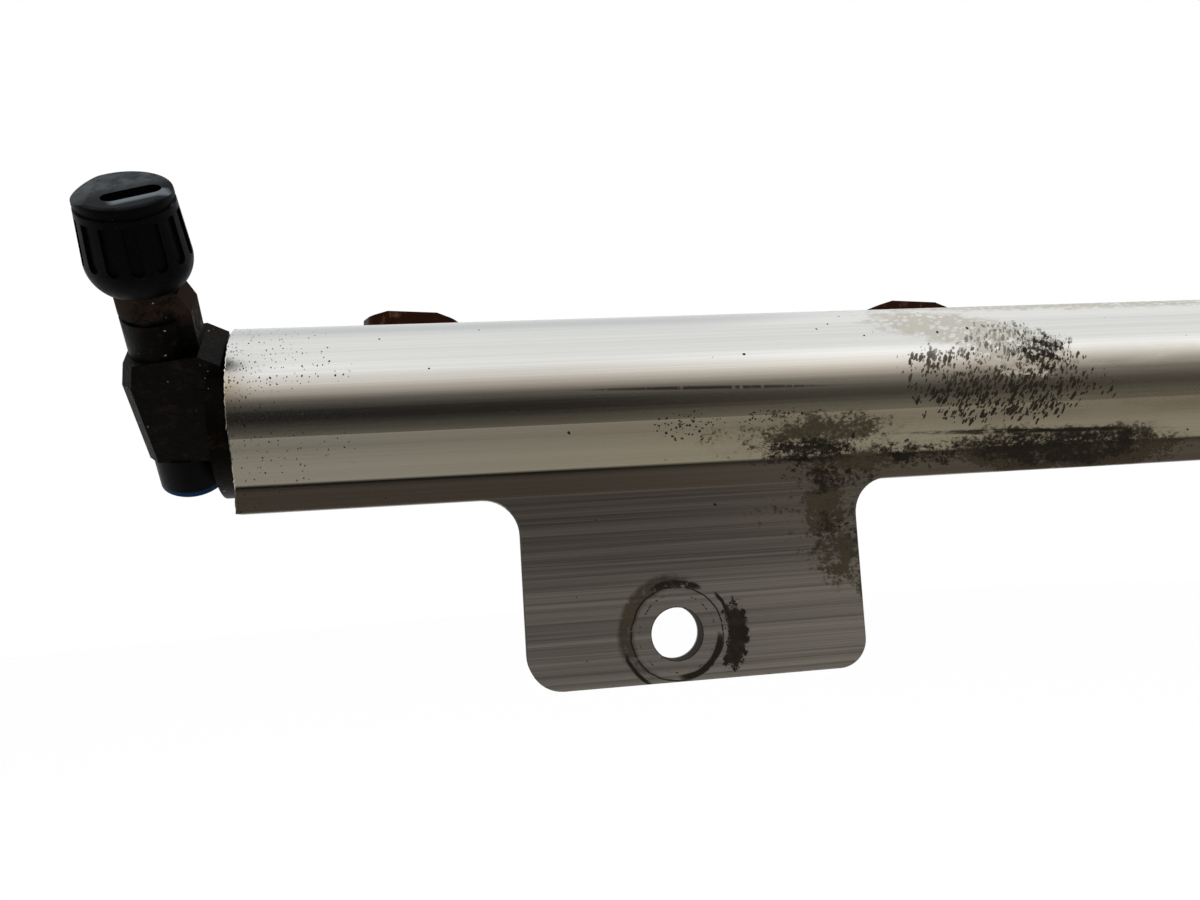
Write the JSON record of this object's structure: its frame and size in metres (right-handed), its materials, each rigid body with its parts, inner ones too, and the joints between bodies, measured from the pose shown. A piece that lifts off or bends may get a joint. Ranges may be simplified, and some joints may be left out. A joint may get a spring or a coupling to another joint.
{
  "type": "fuel rail",
  "caption": "Fuel rail: machined aluminium extrusion with injector sockets, spring clips and bolting tabs, fed through an end adapter that has a capped test port.",
  "frame": {"origin": "midway between the two bolt holes' axes, on the tabs' mounting face", "axes": "+X along the rail, away from the end adapter; +Y from the tabs to the engine, the way the injectors leave their sockets; +Z from the tabs up to the rail's tube"},
  "size_m": [0.4325, 0.0487, 0.0752],
  "materials": {
    "rail_aluminium": "extruded and milled, with oily grime",
    "clip_steel": "bronze-brown coating",
    "adapter_steel": "dark rust and oil",
    "seal_rubber": "smooth",
    "valve_brass": "turned",
    "spring_steel": "drawn wire",
    "black_plastic": "moulded, slightly glossy",
    "blue_plastic": "moulded"
  },
  "bodies": {
    "main": {"rail": "rail_aluminium", "injector_clip_1": "clip_steel", "injector_clip_2": "clip_steel", "injector_clip_3": "clip_steel", "injector_clip_4": "clip_steel", "injector_clip_5": "clip_steel", "end_adapter": "adapter_steel", "adapter_o_ring": "seal_rubber", "valve_core": "valve_brass", "valve_core_seal": "seal_rubber", "valve_spring": "spring_steel", "test_port_cap": "black_plastic", "cap_seal": "seal_rubber", "inlet_housing": "black_plastic", "inlet_o_ring_inner": "seal_rubber", "inlet_o_ring_outer": "seal_rubber", "inlet_spacer": "black_plastic", "inlet_lock_ring": "blue_plastic", "end_plug": "adapter_steel", "end_plug_o_ring": "seal_rubber"},
    "pin": {"valve_pin": "valve_brass", "valve_pin_seal": "seal_rubber"}
  },
  "joints": [
    {"name": "valve_pin_press", "type": "slide", "parent": "main", "child": "pin", "axis": [0, 0.682, -0.7314], "range_m": [0, 0.0012], "stiffness_N_per_m": 2000, "springref_m": -0.0005, "deforming": ["valve_spring"]}
  ]
}
